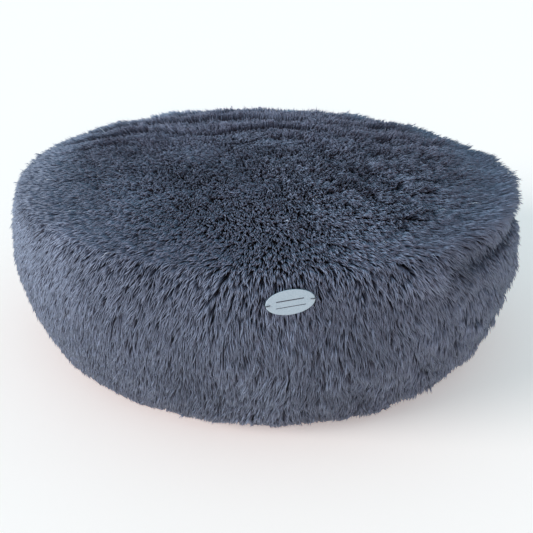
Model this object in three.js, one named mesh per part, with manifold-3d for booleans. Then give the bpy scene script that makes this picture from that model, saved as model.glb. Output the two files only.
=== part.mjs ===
// Round pet cushion bed: a long-pile plush cover with a rear zip over a fibre-filled inner cushion.
// Millimetres, +Z up, the front (with its sewn-on label) faces -Y. The origin is at the middle of
// the base, on the surface that the bed stands on.
import * as THREE from 'three';
import { mergeVertices } from 'three/addons/utils/BufferGeometryUtils.js';
import Module from 'manifold-3d';

const wasm = await Module();
wasm.setup();

// ---- Driving dimensions: the filled bed, measured over its combed pile ----
const bedRadius = 350;           // at the widest line
const bedHeight = 255;           // floor to the top of the crown
const widestHeight = 134;        // height of the widest line
const crownRise = 38;            // middle of the top above its seam
const topSeamInset = 16;         // top seam, in from the widest line
const baseSeamInset = 68;        // base seam, in from the widest line
const shoulderPower = 1.5;       // superellipse power between the top seam and the widest line
const flankPower = 1.88;         // superellipse power between the widest line and the base seam

// ---- Fabrics and sewing ----
const pileDepth = 16;            // plush backing with its pile combed flat
const basePanelThickness = 2.2;
const caseThickness = 1.2;       // inner cushion's ticking
const caseTopSlack = 2.2;        // between the top panel and the inner case
const caseHemInset = 12;         // inner case's base seam, in from the cover's
const fillSlack = 2;             // between the inner case and its filling
const fillHemInset = 10;         // filling's rounded base edge, in from the case's base seam
const coverThreadRadius = 0.5;
const caseThreadRadius = 0.4;
const gap = 0.3;                 // between pieces that touch
const mitreGap = gap * Math.SQRT2;

// ---- Zip across the rear of the band, at the widest line ----
const frontSeamAngle = -90.6;    // degrees about +Z from +X
const zipMiddleAngle = 90;
const zipArc = 140;
const channelHalfHeight = 7;     // the pile stands this far clear of the zip's middle
const tapeReach = 12.8;          // tape's outer edge from the zip's middle
const tapeThickness = 0.6;
const chainSplit = 0.8;          // half the space between the two rows of coil
const coilWidth = 2.6;
const coilThickness = 2;
const stopLength = 2.4;
const sliderLength = 10;
const sliderPlate = 0.9;
const sliderFlange = 0.9;
const sliderWebHalf = 0.45;
const sliderRunning = 0.4;       // slider's clearance over the coil
const bridgeThickness = 0.9;
const bridgeHalfWidth = 1.2;
const pullLength = 30;
const pullWidth = 7.4;
const pullThickness = 1.2;
const pullBar = 1.2;

// ---- Label, sewn to the band below the top seam ----
const labelLength = 48;
const labelHeight = 25;
const labelThickness = 1;
const labelAngle = -85.7;
const labelDrop = 27;            // middle of the label below the top seam
const labelTilt = 9.5;           // right end up
const labelHoleRadius = 1.2;
const labelHoleInset = 4.2;      // hole's middle, in from the label's end
const stitchRadius = 0.45;
const stitchDepth = 11;          // how far each leg goes into the plush
const stitchPocket = 0.75;       // room left round a stitch in the plush

// ---- Facets ----
const ringSegments = 48;
const crownSteps = 4;
const shoulderSteps = 5;
const flankSteps = 5;
const zipStep = 3.5;             // degrees

const radians = THREE.MathUtils.degToRad;

// ---- Layers: each wraps the next, and all share one family of outlines ----
function layer(side, top, base, hem) {
  return {
    widestRadius: bedRadius - side,
    seamRadius: bedRadius - topSeamInset - side,
    seamHeight: bedHeight - crownRise - top,
    hemRadius: bedRadius - baseSeamInset - hem,
    baseHeight: base,
  };
}

function insideOf(outer, wall, hem) {
  return {
    widestRadius: outer.widestRadius - wall,
    seamRadius: outer.seamRadius - wall,
    seamHeight: outer.seamHeight - wall,
    hemRadius: outer.hemRadius - hem,
    baseHeight: outer.baseHeight + wall,
  };
}

const coverOuter = layer(0, 0, 0, 0);
const coverInner = layer(pileDepth, pileDepth, basePanelThickness, 0);

// ---- Outlines in (radius, height) ----
function crownPoints(shell, edgeInset) {
  const edge = shell.seamRadius - edgeInset;
  const points = [];
  for (let i = 0; i <= crownSteps; i += 1) {
    const radius = (edge * i) / crownSteps;
    const fall = (radius / shell.seamRadius) ** 2;
    points.push(new THREE.Vector2(radius, shell.seamHeight + crownRise * (1 - fall)));
  }
  return points;
}

function quarterPoints(near, far, power, steps, widestFirst) {
  const points = [];
  for (let i = 0; i <= steps; i += 1) {
    const turn = (Math.PI / 2) * (widestFirst ? 1 - i / steps : i / steps);
    const radial = Math.abs(Math.sin(turn)) ** (2 / power);
    const upright = Math.abs(Math.cos(turn)) ** (2 / power);
    const radius = near.x + (far.x - near.x) * radial;
    points.push(new THREE.Vector2(radius, far.y + (near.y - far.y) * upright));
  }
  return points;
}

// From the base seam up over the widest line to the top seam.
function flankAndShoulder(shell) {
  const hem = new THREE.Vector2(shell.hemRadius, shell.baseHeight);
  const widest = new THREE.Vector2(shell.widestRadius, widestHeight);
  const seam = new THREE.Vector2(shell.seamRadius, shell.seamHeight);
  const flank = quarterPoints(hem, widest, flankPower, flankSteps, false);
  const shoulder = quarterPoints(seam, widest, shoulderPower, shoulderSteps, true);
  return [...flank, ...shoulder.slice(1)];
}

// Where a band's outline stands at a height.
function radiusAt(outline, height) {
  const above = outline.findIndex((point) => point.y >= height);
  const [low, high] = [outline[above - 1], outline[above]];
  return low.x + ((high.x - low.x) * (height - low.y)) / (high.y - low.y);
}

// ---- The zip's radial stack, from the tapes' inner edges outwards and inwards ----
const facetShare = Math.cos(Math.PI / ringSegments);
const bandInside = flankAndShoulder(coverInner);

// The tape's outer face lies a gap inside the band at any height.
function tapeFace(height) {
  return radiusAt(bandInside, height) * facetShare - gap;
}

const coilEdge = chainSplit + coilWidth;
const sliderEdge = coilEdge + sliderRunning + sliderFlange;
const tapeFlat = sliderEdge + sliderRunning;
const tapeOuter = Math.min(tapeFace(widestHeight - tapeFlat), tapeFace(widestHeight + tapeFlat));
const tapeInner = tapeOuter - tapeThickness;
const coilInner = tapeOuter + gap;
const coilOuter = coilInner + coilThickness;
const frontPlateInner = coilOuter + sliderRunning;
const frontPlateOuter = frontPlateInner + sliderPlate;
const backPlateOuter = tapeInner - sliderRunning;
const backPlateInner = backPlateOuter - sliderPlate;
const barSwing = Math.hypot(pullBar, pullThickness) / 2 + gap;
const pullPivotRadius = frontPlateOuter + barSwing;

const caseOuter = layer(
  bedRadius - backPlateInner + gap,
  pileDepth + caseTopSlack,
  basePanelThickness + gap,
  caseHemInset,
);
const caseInner = insideOf(caseOuter, caseThickness, caseThickness);
const fill = insideOf(caseInner, fillSlack, fillHemInset);
fill.baseHeight = caseInner.baseHeight + gap;

// ---- Solids ----
// Turns an outline about +Z; the outline runs anticlockwise in (radius, height).
function turned(outline) {
  const geometry = new THREE.LatheGeometry(outline, ringSegments);
  geometry.rotateX(Math.PI / 2);
  return geometry;
}

function toSolid(geometry) {
  const plain = geometry.clone();
  plain.deleteAttribute('normal');
  plain.deleteAttribute('uv');
  const merged = mergeVertices(plain, 1e-4);
  const corners = merged.index.array;
  const triangles = [];
  for (let i = 0; i < corners.length; i += 3) {
    const [a, b, c] = [corners[i], corners[i + 1], corners[i + 2]];
    if (a !== b && b !== c && c !== a) triangles.push(a, b, c);
  }
  return new wasm.Manifold(new wasm.Mesh({
    numProp: 3,
    vertProperties: new Float32Array(merged.attributes.position.array),
    triVerts: new Uint32Array(triangles),
  }));
}

function toGeometry(solid) {
  const mesh = solid.getMesh();
  const geometry = new THREE.BufferGeometry();
  geometry.setAttribute('position', new THREE.BufferAttribute(mesh.vertProperties, 3));
  geometry.setIndex(new THREE.BufferAttribute(mesh.triVerts, 1));
  geometry.computeVertexNormals();
  return geometry;
}

function closedRing(outline) {
  return [...outline, outline[0]];
}

// A strip bent about +Z from one angle to another. Its outer face runs up through the points of a
// chain in (radius, height), and its inner face is one thickness inside.
function arcStrip(chain, thickness, startAngle, endAngle) {
  const steps = Math.max(1, Math.round((endAngle - startAngle) / zipStep));
  const inner = chain.map(([radius, height]) => [radius - thickness, height]);
  const section = [...chain, ...inner.reverse()];
  const sides = section.length;
  const vertices = [];
  for (let i = 0; i <= steps; i += 1) {
    const angle = radians(startAngle + ((endAngle - startAngle) * i) / steps);
    for (const [radius, height] of section) {
      vertices.push(radius * Math.cos(angle), radius * Math.sin(angle), height);
    }
  }
  const faces = [];
  for (let i = 0; i < steps; i += 1) {
    for (let k = 0; k < sides; k += 1) {
      const here = sides * i + k;
      const side = sides * i + ((k + 1) % sides);
      faces.push(here, here + sides, side, side, here + sides, side + sides);
    }
  }
  const end = sides * steps;
  for (let k = 0; k < chain.length - 1; k += 1) {
    const corners = [k, k + 1, sides - 2 - k, sides - 1 - k];
    for (const [a, b, c] of [[0, 1, 2], [0, 2, 3]]) {
      faces.push(corners[a], corners[b], corners[c]);
      faces.push(end + corners[a], end + corners[c], end + corners[b]);
    }
  }
  const geometry = new THREE.BufferGeometry();
  geometry.setAttribute('position', new THREE.Float32BufferAttribute(vertices, 3));
  geometry.setIndex(faces);
  geometry.computeVertexNormals();
  return geometry;
}

// The space between two angles and two heights, half a gap inside each angle.
function wedge(startAngle, endAngle, low, high) {
  const half = radians(endAngle - startAngle) / 2;
  const middle = radians(startAngle) + half;
  const reach = 3 * bedRadius;
  const apex = gap / 2 / Math.sin(half);
  const shape = new THREE.Shape([
    new THREE.Vector2(apex * Math.cos(middle), apex * Math.sin(middle)),
    ...[-1, 0, 1].map((side) => new THREE.Vector2(
      apex * Math.cos(middle) + reach * Math.cos(middle + side * half),
      apex * Math.sin(middle) + reach * Math.sin(middle + side * half),
    )),
  ]);
  const geometry = new THREE.ExtrudeGeometry(shape, { depth: high - low, bevelEnabled: false });
  geometry.translate(0, 0, low);
  return toSolid(geometry);
}

// ---- Materials ----
function cloth(color, roughness = 0.95) {
  return new THREE.MeshStandardMaterial({ color, roughness, metalness: 0 });
}

const materials = {
  plush: cloth(0x5f6a80),
  baseCloth: cloth(0x2c3038),
  ticking: cloth(0xe4e2dc),
  filling: cloth(0xf2f2f0),
  thread: cloth(0x39404f, 0.8),
  stitch: cloth(0x1d222b, 0.8),
  tape: cloth(0x323a4a, 0.9),
  coil: cloth(0x2a303c, 0.5),
  metal: new THREE.MeshStandardMaterial({ color: 0x8e9298, roughness: 0.35, metalness: 1 }),
  label: new THREE.MeshStandardMaterial({ color: 0x93a0a8, roughness: 0.6, metalness: 0 }),
};

const bed = new THREE.Group();

function add(name, geometry, material, parent = bed) {
  const mesh = new THREE.Mesh(geometry, materials[material]);
  mesh.name = name;
  parent.add(mesh);
  return mesh;
}

// ---- Cover ----
const above = bedHeight + 10;
const below = -10;
const zipStart = zipMiddleAngle - zipArc / 2;
const zipEnd = zipMiddleAngle + zipArc / 2;

// A domed sheet between two layers, mitred at its seam.
function domedPanel(outer, inner) {
  const underside = crownPoints(inner, mitreGap);
  const face = crownPoints(outer, mitreGap);
  return turned([...underside, ...face.reverse()]);
}

function sideRing(outer, inner) {
  return turned(closedRing([...flankAndShoulder(outer), ...flankAndShoulder(inner).reverse()]));
}

function addCover() {
  const ring = toSolid(sideRing(coverOuter, coverInner));
  const cut = (from, to, low, high) => ring.intersect(wedge(from, to, low, high));
  const frontStrip = (from, to) => labelPockets().reduce(
    (strip, pocket) => strip.subtract(pocket),
    cut(from, to, below, above),
  );
  add('cover_top_panel', domedPanel(coverOuter, coverInner), 'plush');
  add('cover_band_front_left', toGeometry(frontStrip(zipEnd, frontSeamAngle + 360)), 'plush');
  add('cover_band_front_right', toGeometry(frontStrip(frontSeamAngle, zipStart)), 'plush');
  const upper = cut(zipStart, zipEnd, widestHeight + channelHalfHeight, above);
  const lower = cut(zipStart, zipEnd, below, widestHeight - channelHalfHeight);
  add('cover_band_rear_upper', toGeometry(upper), 'plush');
  add('cover_band_rear_lower', toGeometry(lower), 'plush');
  const edge = coverOuter.hemRadius - gap;
  add('cover_base_panel', turned([
    new THREE.Vector2(0, 0),
    new THREE.Vector2(edge, 0),
    new THREE.Vector2(edge, basePanelThickness),
    new THREE.Vector2(0, basePanelThickness),
  ]), 'baseCloth');
}

// ---- Sewing threads, inside their seams ----
function threadRing(radius, height, threadRadius) {
  const outline = [0, 1, 2, 3].map((i) => {
    const angle = (Math.PI / 2) * i;
    const [across, up] = [threadRadius * Math.cos(angle), threadRadius * Math.sin(angle)];
    return new THREE.Vector2(radius + across, height + up);
  });
  return turned(closedRing(outline));
}

function addRingThreads(prefix, shell, threadRadius, colour) {
  const clear = threadRadius + gap;
  const top = threadRing(shell.seamRadius - 2 * clear, shell.seamHeight - clear, threadRadius);
  const base = threadRing(shell.hemRadius - 1.5 * clear, shell.baseHeight + clear, threadRadius);
  add(`${prefix}_top_seam_thread`, top, colour);
  add(`${prefix}_base_seam_thread`, base, colour);
}

// The points between an outline's ends, moved towards the axis along the outline's own normals.
function movedInward(outline, distance) {
  return outline.slice(1, -1).map((point, i) => {
    const along = outline[i + 2].clone().sub(outline[i]).normalize();
    return new THREE.Vector2(point.x - along.y * distance, point.y + along.x * distance);
  });
}

// A thread up the inside of the band, where two strips meet at one angle.
function uprightThread(angle) {
  const stops = movedInward(bandInside, coverThreadRadius + 2 * gap).map((point) => {
    const radius = point.x * facetShare;
    return new THREE.Vector3(radius * Math.cos(radians(angle)), radius * Math.sin(radians(angle)), point.y);
  });
  const route = new THREE.CurvePath();
  stops.slice(1).forEach((stop, i) => route.add(new THREE.LineCurve3(stops[i], stop)));
  const section = new THREE.Shape();
  section.absarc(0, 0, coverThreadRadius, 0, 2 * Math.PI);
  return new THREE.ExtrudeGeometry(section, {
    steps: 2 * stops.length,
    curveSegments: 3,
    bevelEnabled: false,
    extrudePath: route,
  });
}

function addThreads() {
  addRingThreads('cover', coverInner, coverThreadRadius, 'thread');
  add('cover_front_seam_thread', uprightThread(frontSeamAngle), 'thread');
  add('cover_left_seam_thread', uprightThread(zipEnd), 'thread');
  add('cover_right_seam_thread', uprightThread(zipStart), 'thread');
  addRingThreads('case', caseInner, caseThreadRadius, 'ticking');
}

// ---- Inner cushion ----
function addInnerCushion() {
  add('inner_case_top', domedPanel(caseOuter, caseInner), 'ticking');
  add('inner_case_band', sideRing(caseOuter, caseInner), 'ticking');
  add('inner_case_base', turned([
    new THREE.Vector2(0, caseOuter.baseHeight),
    new THREE.Vector2(caseOuter.hemRadius - mitreGap, caseOuter.baseHeight),
    new THREE.Vector2(caseInner.hemRadius - mitreGap, caseInner.baseHeight),
    new THREE.Vector2(0, caseInner.baseHeight),
  ]), 'ticking');
  add('filling', turned([
    new THREE.Vector2(0, fill.baseHeight),
    ...flankAndShoulder(fill),
    ...crownPoints(fill, 0).reverse().slice(1),
  ]), 'filling');
}

// ---- Zip ----
// Degrees about +Z that a length spans along the zip.
function spanAngle(length) {
  return THREE.MathUtils.radToDeg(length / coilInner);
}

// Each tape runs on past the stops for the pull tab's length, so that the tab can lie either way.
const tapeStart = zipStart + spanAngle(2 * (coverThreadRadius + gap));
const tapeEnd = zipEnd - spanAngle(2 * (coverThreadRadius + gap));
const bottomStopStart = tapeStart + spanAngle(pullLength);
const topStopEnd = tapeEnd - spanAngle(pullLength);
const gapAngle = spanAngle(gap);
const coilStart = bottomStopStart + spanAngle(stopLength) + gapAngle;
const coilEnd = topStopEnd - spanAngle(stopLength) - gapAngle;
const sliderAngle = coilEnd - spanAngle(sliderLength / 2 + gap);

// Points on one side of the zip's middle, given as (radius, distance from the middle), going up.
function zipChain(side, points) {
  const chain = points.map(([radius, reach]) => [radius, widestHeight + side * reach]);
  return side > 0 ? chain : chain.reverse();
}

// Tapes lie flat under the slider and then hug the band; the coils stand on their inner edges.
function addZipChain() {
  for (const [name, side] of [['upper', 1], ['lower', -1]]) {
    const farFace = Math.min(tapeOuter, tapeFace(widestHeight + side * tapeReach));
    const tape = zipChain(side, [[tapeOuter, chainSplit], [tapeOuter, tapeFlat], [farFace, tapeReach]]);
    const coil = zipChain(side, [[coilOuter, chainSplit], [coilOuter, coilEdge]]);
    add(`zip_tape_${name}`, arcStrip(tape, tapeThickness, tapeStart, tapeEnd), 'tape');
    add(`zip_coil_${name}`, arcStrip(coil, coilThickness, coilStart, coilEnd), 'coil');
    add(`zip_top_stop_${name}`, arcStrip(coil, coilThickness, coilEnd + gapAngle, topStopEnd), 'metal');
  }
  const bothCoils = [[coilOuter, widestHeight - coilEdge], [coilOuter, widestHeight + coilEdge]];
  const bottomStop = arcStrip(bothCoils, coilThickness, bottomStopStart, coilStart - gapAngle);
  add('zip_bottom_stop', bottomStop, 'metal');
}

// In the slider's frame +X is the way it opens the zip, +Y is outwards and +Z is up.
function sliderBody() {
  const wing = coilEdge + sliderRunning;
  const half = [
    [0, backPlateInner],
    [coilEdge, backPlateInner],
    [coilEdge, backPlateOuter],
    [sliderWebHalf, backPlateOuter],
    [sliderWebHalf, frontPlateInner],
    [wing, frontPlateInner],
    [wing, tapeOuter + sliderRunning],
    [sliderEdge, tapeOuter + sliderRunning],
    [sliderEdge, frontPlateOuter],
    [0, frontPlateOuter],
  ];
  const mirrored = half.slice(1, -1).reverse().map(([z, y]) => [-z, y]);
  const section = new THREE.Shape([...half, ...mirrored].map(([z, y]) => new THREE.Vector2(-z, y)));
  const body = new THREE.ExtrudeGeometry(section, { depth: sliderLength, bevelEnabled: false });
  body.translate(0, 0, -sliderLength / 2);
  body.rotateY(Math.PI / 2);
  return toSolid(body).add(toSolid(sliderBridge()));
}

// The arch over the pull tab's bar.
function sliderBridge() {
  const outer = barSwing + bridgeThickness;
  const foot = frontPlateOuter - sliderPlate / 2;
  const top = pullPivotRadius + outer;
  const arch = new THREE.Shape([
    new THREE.Vector2(-outer, foot),
    new THREE.Vector2(-barSwing, foot),
    new THREE.Vector2(-barSwing, top - bridgeThickness),
    new THREE.Vector2(barSwing, top - bridgeThickness),
    new THREE.Vector2(barSwing, foot),
    new THREE.Vector2(outer, foot),
    new THREE.Vector2(outer, top),
    new THREE.Vector2(-outer, top),
  ]);
  const bridge = new THREE.ExtrudeGeometry(arch, { depth: 2 * bridgeHalfWidth, bevelEnabled: false });
  bridge.translate(0, 0, -bridgeHalfWidth);
  return bridge;
}

// A flat tab whose end bar runs under the bridge; the tab points the way the zip opens.
function pullTab() {
  const reach = Math.SQRT2 * (barSwing + bridgeThickness) + gap;
  const eye = bridgeHalfWidth + gap;
  const tipRadius = pullWidth / 2;
  const outline = new THREE.Shape();
  outline.moveTo(-pullBar / 2, -pullWidth / 2);
  outline.lineTo(pullLength - tipRadius, -pullWidth / 2);
  outline.absarc(pullLength - tipRadius, 0, tipRadius, -Math.PI / 2, Math.PI / 2);
  outline.lineTo(-pullBar / 2, pullWidth / 2);
  outline.closePath();
  outline.holes.push(new THREE.Path([
    new THREE.Vector2(pullBar / 2, -eye),
    new THREE.Vector2(pullBar / 2, eye),
    new THREE.Vector2(reach, eye),
    new THREE.Vector2(reach, -eye),
  ]));
  const geometry = new THREE.ExtrudeGeometry(outline, {
    depth: pullThickness,
    bevelEnabled: false,
    curveSegments: 8,
  });
  geometry.translate(0, 0, -pullThickness / 2);
  geometry.rotateX(Math.PI / 2);
  return geometry;
}

function addZipSlider() {
  const slider = new THREE.Group();
  slider.rotation.z = radians(sliderAngle - 90);
  slider.position.z = widestHeight;
  bed.add(slider);
  add('zip_slider_body', toGeometry(sliderBody()), 'metal', slider);
  add('zip_pull_tab', pullTab(), 'metal', slider).position.y = pullPivotRadius;
}

// ---- Label ----
// In the label's frame +X runs along it, +Y is up and +Z is outwards; z = 0 is the pile's surface.
function labelFrame() {
  const height = coverOuter.seamHeight - labelDrop;
  const outline = flankAndShoulder(coverOuter);
  const radius = radiusAt(outline, height);
  const slope = Math.atan2(radiusAt(outline, height - 1) - radiusAt(outline, height + 1), 2);
  const angle = radians(labelAngle);
  const outward = new THREE.Vector3(
    Math.cos(angle) * Math.cos(slope),
    Math.sin(angle) * Math.cos(slope),
    Math.sin(slope),
  );
  const right = new THREE.Vector3(-Math.sin(angle), Math.cos(angle), 0);
  const up = new THREE.Vector3().crossVectors(outward, right);
  const frame = new THREE.Matrix4().makeBasis(right, up, outward);
  frame.setPosition(radius * Math.cos(angle), radius * Math.sin(angle), height);
  return frame.multiply(new THREE.Matrix4().makeRotationZ(radians(labelTilt)));
}

const labelHole = labelLength / 2 - labelHoleInset;
const stitchOutside = labelLength / 2 + gap + 1.3 * stitchRadius;

// Room in the plush for the two legs of each stitch.
function labelPockets() {
  const depth = 2 * stitchDepth;
  const width = stitchOutside - labelHole + 2 * stitchRadius + 2 * stitchPocket;
  return [-1, 1].map((side) => {
    const pocket = new THREE.BoxGeometry(width, 2 * (stitchRadius + stitchPocket), depth);
    pocket.translate((side * (stitchOutside + labelHole)) / 2, 0, depth / 2 - stitchDepth - stitchPocket);
    pocket.applyMatrix4(labelFrame());
    return toSolid(pocket);
  });
}

function labelPlate() {
  const outline = new THREE.Shape();
  outline.absellipse(0, 0, labelLength / 2, labelHeight / 2, 0, 2 * Math.PI);
  for (const side of [-1, 1]) {
    const hole = new THREE.Path();
    hole.absarc(side * labelHole, 0, labelHoleRadius, 0, 2 * Math.PI, true);
    outline.holes.push(hole);
  }
  const plate = new THREE.ExtrudeGeometry(outline, {
    depth: labelThickness,
    bevelEnabled: false,
    curveSegments: 14,
  });
  plate.translate(0, 0, gap);
  return plate;
}

// A staple of thread: in through the hole, over the label's end and back into the plush.
function labelStitch(side) {
  const at = (x, z) => new THREE.Vector3(side * x, 0, z);
  const top = gap + labelThickness + gap + stitchRadius;
  const bend = 0.8;
  const route = new THREE.CurvePath();
  route.add(new THREE.LineCurve3(at(labelHole, -stitchDepth), at(labelHole, top - bend)));
  route.add(new THREE.QuadraticBezierCurve3(
    at(labelHole, top - bend),
    at(labelHole, top),
    at(labelHole + bend, top),
  ));
  route.add(new THREE.LineCurve3(at(labelHole + bend, top), at(stitchOutside - bend, top)));
  route.add(new THREE.QuadraticBezierCurve3(
    at(stitchOutside - bend, top),
    at(stitchOutside, top),
    at(stitchOutside, top - bend),
  ));
  route.add(new THREE.LineCurve3(at(stitchOutside, top - bend), at(stitchOutside, -stitchDepth)));
  const section = new THREE.Shape();
  section.absarc(0, 0, stitchRadius, 0, 2 * Math.PI);
  return new THREE.ExtrudeGeometry(section, {
    steps: 28,
    curveSegments: 3,
    bevelEnabled: false,
    extrudePath: route,
  });
}

function addLabel() {
  const label = new THREE.Group();
  label.applyMatrix4(labelFrame());
  bed.add(label);
  add('label_plate', labelPlate(), 'label', label);
  add('label_stitch_left', labelStitch(-1), 'stitch', label);
  add('label_stitch_right', labelStitch(1), 'stitch', label);
}

addCover();
addThreads();
addInnerCushion();
addZipChain();
addZipSlider();
addLabel();

export default bed;
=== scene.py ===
"""Round plush pet bed: pile, label, zip, lining and filling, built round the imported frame."""

import math

import bmesh
import bpy
import numpy as np
from mathutils import Matrix, Vector
from mathutils.kdtree import KDTree


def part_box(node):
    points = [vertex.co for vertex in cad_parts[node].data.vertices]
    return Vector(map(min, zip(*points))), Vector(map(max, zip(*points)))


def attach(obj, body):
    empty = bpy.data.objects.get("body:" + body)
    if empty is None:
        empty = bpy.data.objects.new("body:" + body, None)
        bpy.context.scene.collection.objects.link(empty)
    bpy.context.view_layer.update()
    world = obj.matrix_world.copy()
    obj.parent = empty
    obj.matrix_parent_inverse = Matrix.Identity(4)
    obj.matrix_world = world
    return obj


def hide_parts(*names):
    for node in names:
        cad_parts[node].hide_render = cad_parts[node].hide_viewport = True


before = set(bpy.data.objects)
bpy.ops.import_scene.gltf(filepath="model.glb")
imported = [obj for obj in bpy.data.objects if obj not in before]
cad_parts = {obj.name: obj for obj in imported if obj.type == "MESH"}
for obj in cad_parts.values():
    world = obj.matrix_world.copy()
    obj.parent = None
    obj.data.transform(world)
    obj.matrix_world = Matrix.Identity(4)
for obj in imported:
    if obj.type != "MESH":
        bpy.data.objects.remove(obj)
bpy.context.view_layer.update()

MM = 0.001
TAU = 2 * math.pi
CUSHION = "cushion"

# ---- The cover's main sizes, read from the CAD nodes' boxes ----
WIDEST_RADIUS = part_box("cover_band_front_right")[1].x
SEAM_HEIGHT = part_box("cover_band_front_right")[1].z
SEAM_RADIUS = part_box("cover_top_panel")[1].x
CROWN_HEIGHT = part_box("cover_top_panel")[1].z
HEM_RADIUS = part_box("cover_base_panel")[1].x
CHANNEL_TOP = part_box("cover_band_rear_upper")[0].z
CHANNEL_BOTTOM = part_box("cover_band_rear_lower")[1].z
WIDEST_HEIGHT = (CHANNEL_TOP + CHANNEL_BOTTOM) / 2
ZIP_START, ZIP_END = math.radians(20), math.radians(160)
ZIP_SPAN = ZIP_END - ZIP_START
FRONT_SEAM = math.radians(-90.6)

PILE_DEPTH = 16 * MM
BASE_PANEL = 2.2 * MM
SHOULDER_POWER = 1.5
FLANK_POWER = 1.88
OUTLINE_STEPS = 120

# ---- Pile ----
CLUMPS = 92000
TOP_CROWDING = 1.5               # clumps to an area on the top, against the side
STRANDS_IN_CLUMP = 2
CLUMP_REACH = 1.1 * MM           # strands' roots from the clump's middle
CLUMP_DRAW = 0.7                # share of that reach lost by the tips
TUFTS = 4200
TUFT_DRAW = 0.22
TOP_LENGTH = (13 * MM, 18 * MM)
BAND_LENGTH = (22 * MM, 31 * MM)
TOP_WIDTH = (0.48 * MM, 0.72 * MM)      # half the width, at the thickest
BAND_WIDTH = (0.8 * MM, 1.15 * MM)
TOP_RISE = 1.9                   # above 1 the pile stands steeply at its roots and then lies down
BAND_RISE = 1.3
STRAND_STEPS = (0.0, 0.3, 0.66, 1.0)
STRAND_SWELL = (0.75, 1.0, 0.92)
RING_SIDES = 3
STRAYS = 45
PIECE_STRANDS = 12200            # keeps each piece's mesh below 200,000 triangles
RIDGE_PITCH = 78 * MM
TOP_ROOT_SHADE = 0.42            # how far up the root-to-tip colours the top's strands begin
FRONT_ROOT_SHADE = 0.16          # and how much further at the top's front, where they stand up
CHANNEL_CLEAR = 0.8 * MM
FLOOR_CLEAR = 1 * MM
HEM_FLARE = 7 * MM               # how far the pile spreads at the hem
HEM_FLARE_HEIGHTS = (60 * MM, 10 * MM)

# ---- Combing: shares of the seam's run, and distances down from the seam ----
COMB_RIM = (0.68, 1.02)          # where the pile turns over the rim
BAND_LEAN = 0.4
LEAN_FADE_RUN = 120 * MM
LEAN_LEFT = 0.35                 # share of the lean that is left after that run
PARTING_LEAN = 0.13
PARTING_HALF_WIDTH = 8 * MM

# ---- The right rim: degrees round the bed, and (middle, half width) down from the seam ----
RIM_BEGINS, RIM_ENDS = (-64, -46), (30, 0)
BULGE_LIFT, BULGE_PLACE = 0.45, (-20 * MM, 14 * MM)
HOLLOW_LIFT, HOLLOW_PLACE = 0.70, (10 * MM, 12 * MM)
# The hollow under the right rim's overhang is painted darker, as painted shade, at this place down from
# the seam.
HOLLOW_PAINTED_SHADE, HOLLOW_SHADE_PLACE = 0.45, (14 * MM, 13 * MM)
SWEPT_TURN, SWEPT_PLACE = (-62, 7), (12 * MM, 10 * MM)
# The swept tuft is lifted and painted paler, as a painted highlight.
SWEPT_LIFT, SWEPT_PAINTED_HIGHLIGHT = 0.35, 0.40

# ---- Smooth random fields and even spreading ----
WAVES = 6
WAVES_PEAK = 2.4                 # brings the waves' sum to about -1 to 1
EVEN_STEPS = (0.7548776662, 0.5698402910)    # one over the plastic number, and its square


def smoothstep(low, high, x):
    t = np.clip((x - low) / (high - low), 0, 1)
    return t * t * (3 - 2 * t)


def hump(x, middle, half_width):
    return np.exp(-(((x - middle) / half_width) ** 2))


# ---- Outlines in (radius, height), from the crown's middle out and down to the hem ----
def outline(side, top, base, hem=0.0):
    widest, seam = WIDEST_RADIUS - side, SEAM_RADIUS - side
    seam_height, rise = SEAM_HEIGHT - top, CROWN_HEIGHT - SEAM_HEIGHT
    hem_radius = HEM_RADIUS - hem
    across = np.linspace(0, 1, OUTLINE_STEPS, endpoint=False)
    crown = np.stack([seam * across, seam_height + rise * (1 - across**2)], 1)
    turn = np.linspace(0, math.pi / 2, OUTLINE_STEPS)
    out, up = np.sin(turn), np.cos(turn)
    shoulder = np.stack([
        seam + (widest - seam) * out ** (2 / SHOULDER_POWER),
        WIDEST_HEIGHT + (seam_height - WIDEST_HEIGHT) * up ** (2 / SHOULDER_POWER),
    ], 1)
    flank = np.stack([
        hem_radius + (widest - hem_radius) * out[::-1] ** (2 / FLANK_POWER),
        WIDEST_HEIGHT + (base - WIDEST_HEIGHT) * up[::-1].clip(0) ** (2 / FLANK_POWER),
    ], 1)
    return np.concatenate([crown, shoulder, flank[1:]])


PILE_TIPS = outline(0, 0, 0)
PILE_ROOTS = outline(PILE_DEPTH, PILE_DEPTH, BASE_PANEL)
RUN = np.concatenate([[0], np.cumsum(np.linalg.norm(np.diff(PILE_TIPS, axis=0), axis=1))])
SEAM_RUN = RUN[OUTLINE_STEPS]
HEM_RUN = RUN[-1]
CHANNEL_TOP_RUN, CHANNEL_BOTTOM_RUN = (
    np.interp(-z, -PILE_TIPS[OUTLINE_STEPS:, 1], RUN[OUTLINE_STEPS:])
    for z in (CHANNEL_TOP, CHANNEL_BOTTOM)
)
CHANNEL_MIDDLE_RUN = (CHANNEL_TOP_RUN + CHANNEL_BOTTOM_RUN) / 2


def along_outline(line, run):
    return np.stack([np.interp(run, RUN, line[:, 0]), np.interp(run, RUN, line[:, 1])], -1)


def cover_point(run, angle, lift):
    """Places on the cover: lift is 0 at the backing and 1 at the combed pile's outer face."""
    root, tip = along_outline(PILE_ROOTS, run), along_outline(PILE_TIPS, run)
    radius, height = np.moveaxis(root + (tip - root) * lift[..., None], -1, 0)
    radius = radius + lift * HEM_FLARE * smoothstep(*HEM_FLARE_HEIGHTS, height)
    return np.stack([radius * np.cos(angle), radius * np.sin(angle), height], -1)


def wander(points, pitch, seed):
    """A smooth random field, about -1 to 1, whose hills are a pitch apart."""
    rng = np.random.default_rng(seed)
    total = np.zeros(points.shape[:-1])
    for _ in range(WAVES):
        way = rng.normal(size=3)
        way *= TAU / pitch / np.linalg.norm(way)
        total += np.sin(points @ way + rng.uniform(0, TAU))
    return total / WAVES_PEAK


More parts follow.
